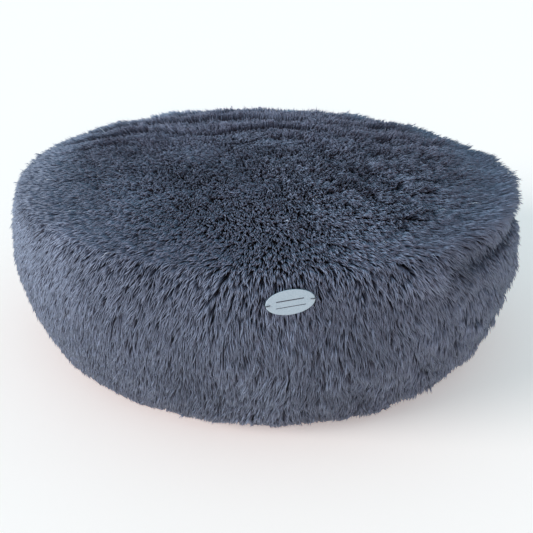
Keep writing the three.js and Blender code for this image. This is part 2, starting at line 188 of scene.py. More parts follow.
def scattered(count, seed):
    """Evenly spread (run, angle) places over the whole cover."""
    first = np.arange(count) + 0.5
    share = (first * EVEN_STEPS[0] + seed * 0.137) % 1
    turn = (first * EVEN_STEPS[1] + seed * 0.291) % 1
    crowding = 1 + (TOP_CROWDING - 1) * smoothstep(SEAM_RUN, SEAM_RUN - 30 * MM, RUN[1:])
    widths = PILE_TIPS[1:, 0] + PILE_TIPS[:-1, 0]
    rings = np.concatenate([[0], np.cumsum(np.diff(RUN) * widths * crowding)])
    return np.interp(share, rings / rings[-1], RUN), turn * TAU


# ---- The unrolled cover: a flat disc on which a place's distance from the middle is its run ----
def unroll(run, angle):
    return np.stack([run * np.cos(angle), run * np.sin(angle)], -1)


def roll(flat):
    return np.linalg.norm(flat, axis=-1), np.arctan2(flat[..., 1], flat[..., 0])


def step(flat, down, along):
    """Moves places by a distance down the outline and a distance anticlockwise."""
    run, angle = roll(flat)
    stretch = run / np.maximum(np.interp(run, RUN, PILE_TIPS[:, 0]), 1 * MM)
    out = np.stack([np.cos(angle), np.sin(angle)], -1)
    side = np.stack([-out[..., 1], out[..., 0]], -1)
    return flat + out * down[..., None] + side * (along * stretch)[..., None]


# ---- Pile direction ----
def comb(run, angle):
    """The way the pile lies, as (down, along). It is shorter than 1 where the pile stands up."""
    rim = smoothstep(*COMB_RIM, run / SEAM_RUN)
    fade = np.interp(run, [SEAM_RUN, SEAM_RUN + LEAN_FADE_RUN], [1.0, LEAN_LEFT])
    lean = BAND_LEAN * np.cos(angle) * fade
    off_seam = (angle - FRONT_SEAM + math.pi) % TAU - math.pi
    parting = PARTING_LEAN * np.sign(off_seam) * hump(off_seam * WIDEST_RADIUS, 0, PARTING_HALF_WIDTH)
    parting = np.where(run > SEAM_RUN, parting, 0)
    down = rim - (1 - rim) * np.sin(angle)
    along = rim * (lean + parting) - (1 - rim) * np.cos(angle)
    return down, along


def signed_degrees(angle):
    """Degrees anticlockwise from the bed's right, -180 to 180."""
    return np.degrees((angle + math.pi) % TAU - math.pi)


def right_rim(angle):
    """1 along the right of the rim, where the top's pile hangs over the seam."""
    turn = signed_degrees(angle)
    return smoothstep(*RIM_BEGINS, turn) * smoothstep(*RIM_ENDS, turn)


def swept_tuft(run, angle):
    """One tuft swept across the band, to the right of the label; it stands higher and is painted paler, as
    a painted highlight.
    """
    return hump(signed_degrees(angle), *SWEPT_TURN) * hump(run - SEAM_RUN, *SWEPT_PLACE)


def overhang(run, angle):
    """The right rim's pile bulges over the top seam, with a hollow below it."""
    below = run - SEAM_RUN
    bulge = BULGE_LIFT * hump(below, *BULGE_PLACE)
    hollow = HOLLOW_LIFT * hump(below, *HOLLOW_PLACE)
    return right_rim(angle) * (bulge - hollow) + SWEPT_LIFT * swept_tuft(run, angle)


def nearest_tufts(place, tuft_place):
    """The tuft that each clump belongs to."""
    tree = KDTree(len(tuft_place))
    for i, co in enumerate(tuft_place):
        tree.insert(co, i)
    tree.balance()
    return np.array([tree.find(co)[1] for co in place])


def roughness_of(run, place):
    """How unevenly the pile lies: most at the right and the back, least along the rim."""
    rough = 0.45 + 0.75 * smoothstep(-0.1, 0.3, place[:, 0]) + 0.2 * smoothstep(0, 0.3, place[:, 1])
    return rough * (1 - 0.6 * hump(run, SEAM_RUN, 55 * MM))


def clump_headings(rng, place, down, along, rough, tuft):
    """The combed way, with broad and fine sways, and a turn for each tuft and each clump."""
    heading = np.arctan2(along, down)
    heading += 0.14 * wander(place, 110 * MM, 21) + 0.16 * rough * wander(place, 42 * MM, 22)
    heading += rough * rng.normal(0, 0.16, TUFTS)[tuft] + rng.normal(0, 0.13, len(place))
    return heading


def clump_lengths(rng, on_top, laid):
    """Short on the top, long on the band, and shorter where the pile stands up."""
    short = TOP_LENGTH[0] + (TOP_LENGTH[1] - TOP_LENGTH[0]) * rng.random(len(on_top))
    long = BAND_LENGTH[0] + (BAND_LENGTH[1] - BAND_LENGTH[0]) * rng.random(len(on_top))
    return (on_top * short + (1 - on_top) * long) * (0.35 + 0.65 * laid)


def clump_lifts(rng, place, rough, laid, tuft):
    """How far each clump's tip stands off the backing, before ridges and the overhang."""
    lift = 0.85 + rough * (rng.normal(0, 0.10, TUFTS)[tuft] + 0.15 * wander(place, 60 * MM, 23))
    lift += (0.05 + 0.07 * rough) * rng.normal(size=len(place)) + 0.1 * (1 - laid)
    return lift


def far_ridges(run, place, on_top):
    """How strong the far top's low ridges are at each place, and how far across one it is."""
    phase = (place[:, 1] + 17 * MM * wander(place, 170 * MM, 24)) / RIDGE_PITCH % 1
    far = smoothstep(-0.08, 0.14, place[:, 1])
    return on_top * far * smoothstep(SEAM_RUN, 0.8 * SEAM_RUN, run), phase


def grain_tone(rng, place, tuft):
    """Tone that varies from tuft to tuft, from clump to clump and in broad clouds."""
    tone = 0.5 + 0.09 * rng.normal(size=TUFTS)[tuft] + 0.07 * rng.normal(size=len(place))
    return tone + 0.10 * wander(place, 140 * MM, 25)


def painted_form_shade(run, angle, place, on_top, front):
    """Painted light and shade that follow the form: painted shade on the top's flanks, the left of its
    rim, its front and the right rim's hollow, and a painted highlight on one swept tuft.
    """
    # Painted shade: the top is darker towards its left and right flanks and lighter in its middle.
    tone = on_top * (0.10 - 0.24 * smoothstep(0.05, 0.30, np.abs(place[:, 0])))
    # Painted shade along the left of the top's rim.
    rim_top = smoothstep(SEAM_RUN + 12 * MM, SEAM_RUN - 8 * MM, run)
    corner = rim_top * smoothstep(-0.26, -0.17, place[:, 1]) * smoothstep(0.14, 0.26, -place[:, 0])
    hollow = right_rim(angle) * hump(run - SEAM_RUN, *HOLLOW_SHADE_PLACE)
    return tone - 0.30 * corner - 0.13 * front + SWEPT_PAINTED_HIGHLIGHT * swept_tuft(run, angle) - HOLLOW_PAINTED_SHADE * hollow


def clump_fields(run, angle):
    """Root place, heading, length, lift at the tip and tone of every clump."""
    rng = np.random.default_rng(11)
    place = cover_point(run, angle, np.ones(len(run)))
    tuft_run, tuft_angle = scattered(TUFTS, 5)
    tuft = nearest_tufts(place, cover_point(tuft_run, tuft_angle, np.ones(TUFTS)))
    rough = roughness_of(run, place)
    down, along = comb(run, angle)
    laid = smoothstep(0, 0.3, np.hypot(down, along))
    on_top = smoothstep(SEAM_RUN + 20 * MM, SEAM_RUN - 30 * MM, run)
    front = on_top * smoothstep(0.05, -0.15, place[:, 1])
    ridge, phase = far_ridges(run, place, on_top)
    heading = clump_headings(rng, place, down, along, rough, tuft)
    length = clump_lengths(rng, on_top, laid)
    lift = clump_lifts(rng, place, rough, laid, tuft)
    lift += ridge * (0.38 - 0.75 * phase) + overhang(run, angle)
    # The far top's ridges are painted lighter at their raised front edges and darker behind them, as
    # painted light and shade.
    tone = grain_tone(rng, place, tuft) + ridge * (0.10 - 0.22 * phase)
    # Painted light and shade that follow the bed's form.
    tone += painted_form_shade(run, angle, place, on_top, front)
    return {
        "flat": unroll(run, angle),
        "tuft_flat": unroll(tuft_run, tuft_angle)[tuft],
        "heading": heading,
        "length": length,
        "lift": np.clip(lift, 0.25, 1.6),
        "tone": tone,
        "on_top": on_top,
        "root_shade_skip": TOP_ROOT_SHADE * on_top + FRONT_ROOT_SHADE * front,
    }


def strand_paths(clumps):
    """Every strand as points on the unrolled cover, with their lifts, thickness and tone."""
    rng = np.random.default_rng(12)
    fields = {name: np.repeat(values, STRANDS_IN_CLUMP, axis=0) for name, values in clumps.items()}
    count = len(fields["heading"])
    spread = CLUMP_REACH * np.sqrt(rng.random(count))
    turn = rng.uniform(0, TAU, count)
    offset_down, offset_along = spread * np.cos(turn), spread * np.sin(turn)
    heading = fields["heading"] + rng.normal(0, 0.07, count)
    curl = rng.normal(0, 0.14, count)
    length = fields["length"] * rng.uniform(0.85, 1.1, count)
    lift = fields["lift"] + rng.normal(0, 0.06, count)
    tuft_gap = fields["tuft_flat"] - fields["flat"]
    rise = BAND_RISE + (TOP_RISE - BAND_RISE) * fields["on_top"]
    middle, before = fields["flat"], 0.0
    flats, lifts = [], []
    for share in STRAND_STEPS:
        way = heading + curl * (share - 0.4)
        reach = length * (share - before)
        middle = step(middle, reach * np.cos(way), reach * np.sin(way))
        keep = 1 - CLUMP_DRAW * share
        drawn = middle + tuft_gap * (TUFT_DRAW * share**1.5)
        flats.append(step(drawn, offset_down * keep, offset_along * keep))
        lifts.append(0.02 + (lift - 0.02) * (1 - (1 - share) ** rise))
        before = share
    narrow, wide = rng.uniform(*TOP_WIDTH, count), rng.uniform(*BAND_WIDTH, count)
    width = wide + (narrow - wide) * fields["on_top"]
    tone = fields["tone"] + rng.normal(size=count) * (0.15 - 0.08 * fields["on_top"])
    return np.stack(flats, 1), np.stack(lifts, 1), width, np.clip(tone, 0.01, 0.99), fields["root_shade_skip"]


def beside_zip(angle):
    return (angle - ZIP_START) % TAU < ZIP_SPAN


def keep_channel_clear(run, angle):
    """Ends the pile at the zip's channel, so that the slider and its pull have room."""
    behind = beside_zip(angle[:, :1])
    above = run[:, :1] < CHANNEL_MIDDLE_RUN
    run = np.where(behind & above, np.minimum(run, CHANNEL_TOP_RUN - CHANNEL_CLEAR), run)
    run = np.where(behind & ~above, np.maximum(run, CHANNEL_BOTTOM_RUN + CHANNEL_CLEAR), run)
    level = (run > CHANNEL_TOP_RUN - 1 * MM) & (run < CHANNEL_BOTTOM_RUN + 1 * MM)
    strayed = ~behind & level & beside_zip(angle)
    nearer_end = np.where((angle - ZIP_START) % TAU < ZIP_SPAN / 2, ZIP_START, ZIP_END)
    return run, np.where(strayed, nearer_end, angle)


def prisms(centres, outward, width):
    """Closed three-sided tapering strands: their corners, the tips last in each strand."""
    way = np.gradient(centres, axis=1)
    way /= np.linalg.norm(way, axis=-1, keepdims=True) + 1e-12
    side = np.cross(way, outward)
    side /= np.linalg.norm(side, axis=-1, keepdims=True) + 1e-12
    up = np.cross(side, way)
    rings = []
    for i, swell in enumerate(STRAND_SWELL):
        for k in range(RING_SIDES):
            turn = TAU * k / RING_SIDES + math.pi / 2
            reach = math.cos(turn) * side[:, i] + math.sin(turn) * up[:, i]
            rings.append(centres[:, i] + reach * (swell * width)[:, None])
    rings.append(centres[:, -1])
    return np.stack(rings, 1)


def strand_faces():
    """The corners of one strand's faces, all faces in turn, and each face's size."""
    faces = [tuple(range(RING_SIDES))[::-1]]
    last = len(STRAND_SWELL) - 1
    for i in range(last):
        for k in range(RING_SIDES):
            here, beside = RING_SIDES * i + k, RING_SIDES * i + (k + 1) % RING_SIDES
            faces.append((here, beside, beside + RING_SIDES, here + RING_SIDES))
    tip = RING_SIDES * (last + 1)
    for k in range(RING_SIDES):
        faces.append((RING_SIDES * last + k, RING_SIDES * last + (k + 1) % RING_SIDES, tip))
    return np.concatenate([np.array(f) for f in faces]), np.array([len(f) for f in faces])


def strand_mesh(name, corners, tone, root_shade_skip):
    count, per_strand = corners.shape[:2]
    loops, sizes = strand_faces()
    index = (loops[None, :] + per_strand * np.arange(count)[:, None]).ravel()
    totals = np.tile(sizes, count)
    mesh = bpy.data.meshes.new(name)
    mesh.vertices.add(count * per_strand)
    mesh.vertices.foreach_set("co", corners.astype(np.float32).ravel())
    mesh.loops.add(len(index))
    mesh.loops.foreach_set("vertex_index", index.astype(np.int32))
    mesh.polygons.add(len(totals))
    starts = np.concatenate([[0], np.cumsum(totals)[:-1]])
    mesh.polygons.foreach_set("loop_start", starts.astype(np.int32))
    mesh.polygons.foreach_set("use_smooth", np.ones(len(totals), dtype=bool))
    share = np.append(np.repeat(STRAND_STEPS[:-1], RING_SIDES), 1.0)
    spots = np.empty((count, len(loops), 2), dtype=np.float32)
    spots[..., 0] = tone[:, None]
    # V runs from root to tip; this value starts it further along, past part of the painted root shade.
    spots[..., 1] = 0.02 + 0.96 * (root_shade_skip[:, None] + (1 - root_shade_skip[:, None]) * share[loops][None, :])
    layer = mesh.uv_layers.new(name="OFBake")
    layer.data.foreach_set("uv", spots.ravel())
    mesh.update(calc_edges=True)
    return mesh


def add_object(name, mesh, body, material):
    item = bpy.data.objects.new(name, mesh)
    bpy.context.scene.collection.objects.link(item)
    mesh.materials.clear()
    mesh.materials.append(material)
    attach(item, body)
    return item


# ---- Materials ----
def new_material(name, color, roughness, metallic=0.0, sheen=0.0):
    material = bpy.data.materials.new(name)
    material.use_nodes = True
    shader = material.node_tree.nodes["Principled BSDF"]
    shader.inputs["Base Color"].default_value = (*color, 1)
    shader.inputs["Roughness"].default_value = roughness
    shader.inputs["Metallic"].default_value = metallic
    shader.inputs["Sheen Weight"].default_value = sheen
    return material


def add_node(material, kind, **settings):
    node = material.node_tree.nodes.new(kind)
    for key, value in settings.items():
        if key in node.inputs:
            node.inputs[key].default_value = value
        else:
            setattr(node, key, value)
    return node


def join(material, source, target):
    material.node_tree.links.new(source, target)


def ramp(material, factor, stops):
    node = add_node(material, "ShaderNodeValToRGB")
    elements = node.color_ramp.elements
    while len(elements) < len(stops):
        elements.new(0.5)
    for element, (position, color) in zip(elements, stops):
        element.position = position
        element.color = (*color, 1)
    join(material, factor, node.inputs["Fac"])
    return node.outputs["Color"]


def principled(material):
    return material.node_tree.nodes["Principled BSDF"]


def color_by(material, factor, stops):
    join(material, ramp(material, factor, stops), principled(material).inputs["Base Color"])


def noise(material, scale, detail, **settings):
    """Smooth noise on the object's own coordinates."""
    place = add_node(material, "ShaderNodeTexCoord")
    node = add_node(material, "ShaderNodeTexNoise", Scale=scale, Detail=detail, **settings)
    join(material, place.outputs["Object"], node.inputs["Vector"])
    return node.outputs["Fac"]


def maths(material, operation, *values):
    """A maths node fed by other nodes' outputs or by plain numbers."""
    node = add_node(material, "ShaderNodeMath", operation=operation)
    for value, socket in zip(values, node.inputs):
        if isinstance(value, float):
            socket.default_value = value
        else:
            join(material, value, socket)
    return node.outputs["Value"]


def set_bump(material, height, strength, distance):
    bump = add_node(material, "ShaderNodeBump", Strength=strength, Distance=distance)
    join(material, height, bump.inputs["Height"])
    join(material, bump.outputs["Normal"], principled(material).inputs["Normal"])


def pile_material(name, low_tone, high_tone):
    """Dark at the root, as painted shade, and pale at the tip, from a low tone to a high one."""
    material = new_material(name, (0.1, 0.12, 0.16), 0.56, sheen=0.08)
    principled(material).inputs["Sheen Tint"].default_value = (0.72, 0.84, 1, 1)
    spot = add_node(material, "ShaderNodeUVMap", uv_map="OFBake")
    split = add_node(material, "ShaderNodeSeparateXYZ")
    join(material, spot.outputs["UV"], split.inputs["Vector"])
    dull = ramp(material, split.outputs["Y"], low_tone)
    bright = ramp(material, split.outputs["Y"], high_tone)
    mix = add_node(material, "ShaderNodeMix", data_type="RGBA")
    join(material, split.outputs["X"], mix.inputs["Factor"])
    join(material, dull, mix.inputs["A"])
    join(material, bright, mix.inputs["B"])
    join(material, mix.outputs["Result"], principled(material).inputs["Base Color"])
    return material


# Root-to-tip colours of dull and bright strands: the darkening from tip to root is painted shade.
DULL_STRAND = [
    (0.0, (0.005, 0.007, 0.015)),
    (0.46, (0.013, 0.018, 0.036)),
    (0.76, (0.082, 0.100, 0.146)),
    (1.0, (0.118, 0.141, 0.198)),
]
BRIGHT_STRAND = [
    (0.0, (0.007, 0.010, 0.021)),
    (0.46, (0.026, 0.034, 0.062)),
    (0.76, (0.225, 0.262, 0.352)),
    (1.0, (0.315, 0.360, 0.470)),
]
DULL_STRAY = [(0, (0.30, 0.33, 0.40)), (1, (0.50, 0.54, 0.60))]
BRIGHT_STRAY = [(0, (0.42, 0.46, 0.52)), (1, (0.68, 0.72, 0.78))]
PILE = pile_material("pile", DULL_STRAND, BRIGHT_STRAND)
STRAY = pile_material("stray_fibre", DULL_STRAY, BRIGHT_STRAY)


# ---- Pile pieces, one set for each CAD panel ----
def panel_of(run, angle):
    """The CAD panel under each root."""
    turned = (angle - FRONT_SEAM) % TAU
    names = np.where(turned < math.pi, "cover_band_front_right", "cover_band_front_left")
    rear = np.where(run < CHANNEL_MIDDLE_RUN, "cover_band_rear_upper", "cover_band_rear_lower")
    names = np.where(beside_zip(angle), rear, names)
    return np.where(run < SEAM_RUN, "cover_top_panel", names)


def label_frame():
    """The label's place: its middle on the plush, with X along it and Z outwards."""
    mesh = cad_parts["label_plate"].data
    points = np.array([v.co[:] for v in mesh.vertices])
    middle = (points.min(0) + points.max(0)) / 2
    _, _, axes = np.linalg.svd(points - points.mean(0), full_matrices=False)
    x_axis = axes[0] * np.sign(axes[0][0])
    normal = axes[2] * -np.sign(axes[2][1])
    axes = np.stack([x_axis, np.cross(normal, x_axis), normal])
    local = (points - middle) @ axes.T
    centre = (local.min(0) + local.max(0)) / 2
    half = (local.max(0) - local.min(0)) / 2
    return middle + centre @ axes, axes, half


LABEL_MIDDLE, LABEL_AXES, LABEL_HALF = label_frame()


def press_under_label(points):
    """Pile inside the label's outline lies under the plate."""
    local = (points - LABEL_MIDDLE) @ LABEL_AXES.T
    inside = (local[..., 0] / LABEL_HALF[0]) ** 2 + (local[..., 1] / LABEL_HALF[1]) ** 2 < 1.04
    near = np.abs(local[..., 2]) < 40 * MM
    under = -LABEL_HALF[2] - 0.3 * MM
    local[..., 2] = np.where(inside & near, np.minimum(local[..., 2], under), local[..., 2])
    return local @ LABEL_AXES + LABEL_MIDDLE


def add_strays(corners, panels):
    """A few pale, thin fibres that have come away and lie on top of the pile."""
    rng = np.random.default_rng(17)
    chosen = rng.choice(np.flatnonzero(panels == "cover_top_panel"), STRAYS, replace=False)
    stray = corners[chosen]
    rings = stray[:, :-1].reshape(STRAYS, len(STRAND_SWELL), RING_SIDES, 3)
    middles = rings.mean(axis=2, keepdims=True)
    thin = middles + (rings - middles) * 0.5
    stray = np.concatenate([thin.reshape(STRAYS, -1, 3), stray[:, -1:]], axis=1)
    stray[..., 2] += rng.uniform(1.5, 4.0, (STRAYS, 1)) * MM
    mesh = strand_mesh("stray_fibres", stray, np.full(STRAYS, 0.9), np.full(STRAYS, 0.5))
    return add_object("stray_fibres", mesh, CUSHION, STRAY)


def pile_roots():
    """Every clump's place, with none in the zip's channel."""
    run, angle = scattered(CLUMPS, 1)
    off_middle = np.abs(run - CHANNEL_MIDDLE_RUN)
    channel = off_middle < (CHANNEL_BOTTOM_RUN - CHANNEL_TOP_RUN) / 2 + 0.5 * MM
    keep = ~(channel & beside_zip(angle))
    return run[keep], angle[keep]


def add_panel_pile(panel, chosen, corners, tone, root_shade_skip):
    """One panel's strands, shared out among pieces of about equal size."""
    pieces = []
    parts = np.array_split(chosen, math.ceil(len(chosen) / PIECE_STRANDS))
    for number, part in enumerate(parts, 1):
        name = f"pile_{panel.removeprefix('cover_')}_{number}"
        mesh = strand_mesh(name, corners[part], tone[part], root_shade_skip[part])
        pieces.append(add_object(name, mesh, CUSHION, PILE))
    return pieces


def add_pile():
    run, angle = pile_roots()
    flats, lifts, width, tone, root_shade_skip = strand_paths(clump_fields(run, angle))
    panels = np.repeat(panel_of(run, angle), STRANDS_IN_CLUMP)
    strand_run, strand_angle = roll(flats)
    strand_run = np.minimum(strand_run, HEM_RUN)
    strand_run, strand_angle = keep_channel_clear(strand_run, strand_angle)
    centres = cover_point(strand_run, strand_angle, lifts)
    outward = cover_point(strand_run, strand_angle, lifts + 1) - centres
    centres[..., 2] = np.maximum(centres[..., 2], FLOOR_CLEAR + width[:, None])
    corners = press_under_label(prisms(centres, outward, width))
    pieces = {}
    for panel in np.unique(panels):
        chosen = np.flatnonzero(panels == panel)
        chosen = chosen[np.argsort(strand_angle[chosen, 0], kind="stable")]
        pieces[panel] = add_panel_pile(panel, chosen, corners, tone, root_shade_skip)
    pieces["cover_top_panel"].append(add_strays(corners, panels))
    return pieces


pile = add_pile()
for panel, pieces in pile.items():
    for piece in pieces:
        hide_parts(panel)


# ---- Cloth and padding ----
def wall_mesh(name, outer, inner, angles, lengths, closed):
    """A closed wall between two grids of points, (angle, outline), with a map in metres for weaves."""
    count, across = outer.shape[:2]
    loop = np.concatenate([outer, inner[:, ::-1]], axis=1)
    sides = 2 * across
    travel = np.concatenate([lengths, lengths[::-1]])
    bm = bmesh.new()
    corners = [bm.verts.new(co) for co in loop.reshape(-1, 3)]
    weave = bm.loops.layers.uv.new("Weave")

    def face(spots):
        made = bm.faces.new([corners[(i % count) * sides + k] for i, k in spots])
        made.smooth = True
        for corner, (i, k) in zip(made.loops, spots):
            turn = angles[i] if i < count else angles[0] + TAU
            corner[weave].uv = (turn * WIDEST_RADIUS, travel[k])

    for i in range(count if closed else count - 1):
        for k in range(sides):
            after = (k + 1) % sides
            face([(i, k), (i + 1, k), (i + 1, after), (i, after)])
    if not closed:
        for i in (0, count - 1):
            for k in range(across - 1):
                face([(i, k), (i, k + 1), (i, sides - 2 - k), (i, sides - 1 - k)])
    bmesh.ops.remove_doubles(bm, verts=bm.verts, dist=0.01 * MM)
    bmesh.ops.recalc_face_normals(bm, faces=bm.faces)
    mesh = bpy.data.meshes.new(name)
    bm.to_mesh(mesh)
    bm.free()
    return mesh


def turned_grid(line, angles):
    """An outline turned about the bed's middle, as points by angle and by place on the outline."""
    ways = np.stack([np.cos(angles), np.sin(angles)], -1)
    grid = np.empty((len(angles), len(line), 3))
    grid[..., :2] = ways[:, None, :] * line[None, :, :1]
    grid[..., 2] = line[None, :, 1]
    return grid


def line_lengths(line):
    return np.concatenate([[0], np.cumsum(np.linalg.norm(np.diff(line, axis=0), axis=1))])


def line_normals(line):
    way = np.gradient(line, axis=0)
    normal = np.stack([-way[:, 1], way[:, 0]], 1)
    return normal / (np.linalg.norm(normal, axis=1, keepdims=True) + 1e-12)


GATHER_REACH = 18 * MM           # how far the puckers run in from a sewn edge


def puckered(outer, inner, angles, gathers, depth, reach):
    """Both faces of a cloth pulled in and out by the gathers along its two sewn edges."""
    lengths = line_lengths(outer)
    edge = lengths[-1] - lengths
    if outer[0, 0] > 1 * MM:
        edge = np.minimum(lengths, edge)
    fade = depth * np.exp(-edge / reach)
    rng = np.random.default_rng(31)
    sway = rng.uniform(0, TAU, 2)
    wave = np.sin(gathers * angles + sway[0] + 1.4 * np.sin(7 * angles)) * 0.6
    wave += np.sin(math.floor(gathers * 0.618) * angles + sway[1]) * 0.4
    push = -np.abs(wave)[:, None, None] * fade[None, :, None]
    normal = turned_grid(line_normals(outer), angles)
    return turned_grid(outer, angles) + normal * push, turned_grid(inner, angles) + normal * push


def add_cloth(name, node, outer, inner, span, material, gathers=(0, 0.0)):
    """A sheet between two outlines, over a span of angles; a full turn joins up."""
    closed = span[1] - span[0] > TAU - 0.01
    count = max(8, round((span[1] - span[0]) / math.radians(2)))
    angles = np.linspace(span[0], span[1], count, endpoint=not closed)
    if gathers[0]:
        faces = puckered(outer, inner, angles, *gathers, GATHER_REACH)
    else:
        faces = turned_grid(outer, angles), turned_grid(inner, angles)
    mesh = wall_mesh(name, *faces, angles, line_lengths(outer), closed)
    item = add_object(name, mesh, CUSHION, material)
    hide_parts(node)
    return item


def part_of(line, start, end):
    """The stretch of an outline between two runs, thinned to about one point in 6 mm."""
    runs = np.linspace(start, end, max(3, round((end - start) / (6 * MM))))
    return along_outline(line, runs)


def weave_material(name, color, pitch, bump, roughness=0.85, sheen=0.2, twill=False, spread=0.25):
    """Two sets of yarns under and over each other, on the weave map; twill sets them on a slant."""
    material = new_material(name, color, roughness, sheen=sheen)
    spot = add_node(material, "ShaderNodeUVMap", uv_map="Weave")
    turn = add_node(material, "ShaderNodeMapping")
    turn.inputs["Rotation"].default_value = (0, 0, math.radians(45 if twill else 0))
    join(material, spot.outputs["UV"], turn.inputs["Vector"])
    yarns = []
    for direction in ("X", "Y"):
        wave = add_node(material, "ShaderNodeTexWave", bands_direction=direction)
        wave.inputs["Scale"].default_value = TAU / (20 * pitch)
        wave.inputs["Distortion"].default_value = 0.6
        wave.inputs["Detail"].default_value = 1
        join(material, turn.outputs["Vector"], wave.inputs["Vector"])
        yarns.append(wave.outputs["Fac"])
    over = maths(material, "MULTIPLY", *yarns)
    tint = maths(material, "MULTIPLY_ADD", noise(material, 34.0, 4.0), 0.5, over)
    dark = tuple(c * (1 - spread) for c in color)
    light = tuple(min(1, c * (1 + spread)) for c in color)
    color_by(material, tint, [(0.2, dark), (0.9, light)])
    set_bump(material, over, bump, 0.25 * MM)
    return material


# The backing is coloured nearly black, as painted shade for where it shows in the gaps between the
# strands.
BACKING = weave_material("pile_backing", (0.020, 0.024, 0.036), 1.0 * MM, 0.7)
BASE_CLOTH = weave_material("base_cloth", (0.045, 0.052, 0.065), 1.4 * MM, 0.9, twill=True)
TICKING = weave_material("ticking", (0.74, 0.72, 0.68), 0.8 * MM, 0.6, spread=0.1)
TAPE_CLOTH = weave_material("zip_tape", (0.050, 0.058, 0.085), 0.7 * MM, 0.9, twill=True)

FULL_TURN = (0.0, TAU)
BACKING_LIFT = 0.1
BACKING_EDGE = 1.2 * MM


def backing_faces(start, end):
    roots, tips = part_of(PILE_ROOTS, start, end), part_of(PILE_TIPS, start, end)
    return roots + (tips - roots) * BACKING_LIFT, roots


def add_backings():
    """The knitted ground that the pile grows from, one sheet for each panel."""
    outer, inner = backing_faces(0, SEAM_RUN - BACKING_EDGE)
    add_cloth("backing_top", "cover_top_panel", outer, inner, FULL_TURN, BACKING)
    start, end = SEAM_RUN + BACKING_EDGE, HEM_RUN - BACKING_EDGE
    tiny = 0.5 * MM / WIDEST_RADIUS
    bands = {
        "front_left": (ZIP_END + tiny, FRONT_SEAM + TAU - tiny, start, end),
        "front_right": (FRONT_SEAM + tiny, ZIP_START - tiny, start, end),
        "rear_upper": (ZIP_START + tiny, ZIP_END - tiny, start, CHANNEL_TOP_RUN),
        "rear_lower": (ZIP_START + tiny, ZIP_END - tiny, CHANNEL_BOTTOM_RUN, end),
    }
    for name, (first, last, upper, lower) in bands.items():
        outer, inner = backing_faces(upper, lower)
        panel = f"cover_band_{name}"
        add_cloth(f"backing_{name}", panel, outer, inner, (first, last), BACKING)


def flat_disc(radius, height):
    across = np.linspace(0, radius, 40)
    return np.stack([across, np.full(40, height)], 1)


def add_base_panel():
    outer, inner = flat_disc(HEM_RADIUS, BASE_PANEL), flat_disc(HEM_RADIUS, 0.1 * MM)
    add_cloth("base_cloth", "cover_base_panel", outer, inner, FULL_TURN, BASE_CLOTH)


# Each is set in from the cover's outline at its side, top, base and hem.
CASE_OUT = (19.6 * MM, 18.2 * MM, 2.5 * MM, 12 * MM)
CASE_IN = (20.8 * MM, 19.4 * MM, 3.7 * MM, 13.2 * MM)
FILL_OUT = (22.8 * MM, 21.4 * MM, 4.0 * MM, 23.2 * MM)


def add_inner_case():
    out, inside = outline(*CASE_OUT), outline(*CASE_IN)
    crown = slice(0, OUTLINE_STEPS - 1, 4)
    band = slice(OUTLINE_STEPS + 2, None, 5)
    add_cloth("ticking_top", "inner_case_top", out[crown], inside[crown], FULL_TURN, TICKING,
              gathers=(64, 0.9 * MM))
    add_cloth("ticking_band", "inner_case_band", out[band], inside[band], FULL_TURN, TICKING,
              gathers=(84, 0.9 * MM))
    radius = HEM_RADIUS - CASE_OUT[3] - 1 * MM
    add_cloth("ticking_base", "inner_case_base", flat_disc(radius, CASE_IN[2]),
              flat_disc(radius, CASE_OUT[2]), FULL_TURN, TICKING)


def wadding_material():
    material = new_material("wadding", (0.86, 0.86, 0.84), 0.95, sheen=0.4)
    tufts = noise(material, 60.0, 8.0, Roughness=0.7)
    color_by(material, tufts, [(0.3, (0.70, 0.70, 0.68)), (0.7, (0.92, 0.92, 0.90))])
    set_bump(material, tufts, 1.0, 2 * MM)
    return material


def resampled(grid, count):
    """A grid's rows, each with its points spread anew over a number of places."""
    old, new = np.linspace(0, 1, grid.shape[1]), np.linspace(0, 1, count)
    return np.stack([
        np.stack([np.interp(new, old, row[:, axis]) for axis in range(3)], -1)
        for row in grid
    ])


def add_filling():
    """Loose hollow fibre: one lumpy body inside its case, flat where it lies on the base."""
    line = outline(*FILL_OUT)[::4]
    angles = np.linspace(0, TAU, 150, endpoint=False)
    base = flat_disc(line[-1, 0], FILL_OUT[2])[::2]
    upper, lower = turned_grid(line, angles), turned_grid(base, angles)
    sink = 2.5 * MM * (1 + wander(upper, 70 * MM, 41)) + 1.2 * MM * (1 + wander(upper, 24 * MM, 42))
    sink *= smoothstep(4 * MM, 20 * MM, upper[..., 2])
    sink[:, 0] = sink[:, 0].mean()
    upper -= turned_grid(line_normals(line), angles) * sink[..., None]
    lower = resampled(lower, upper.shape[1])
    mesh = wall_mesh("wadding", upper, lower, angles, line_lengths(line), True)
    item = add_object("wadding", mesh, CUSHION, wadding_material())
    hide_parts("filling")


add_backings()
add_base_panel()
add_inner_case()
add_filling()


# ---- Zip ----
def node_points(node):
    return np.array([v.co[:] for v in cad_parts[node].data.vertices])


def polar_limits(node):
    """Least and greatest radius, polar angle and height of a node beside the zip."""
    points = node_points(node)
    radius, angle = np.hypot(points[:, 0], points[:, 1]), np.arctan2(points[:, 1], points[:, 0])
    return [(values.min(), values.max()) for values in (radius, angle, points[:, 2])]


TAPE_THICKNESS = 0.6 * MM
TAPE_POINTS = 9
FACET_SHARE = math.cos(math.pi / 48)      # the CAD band's flats stand this much inside its corners


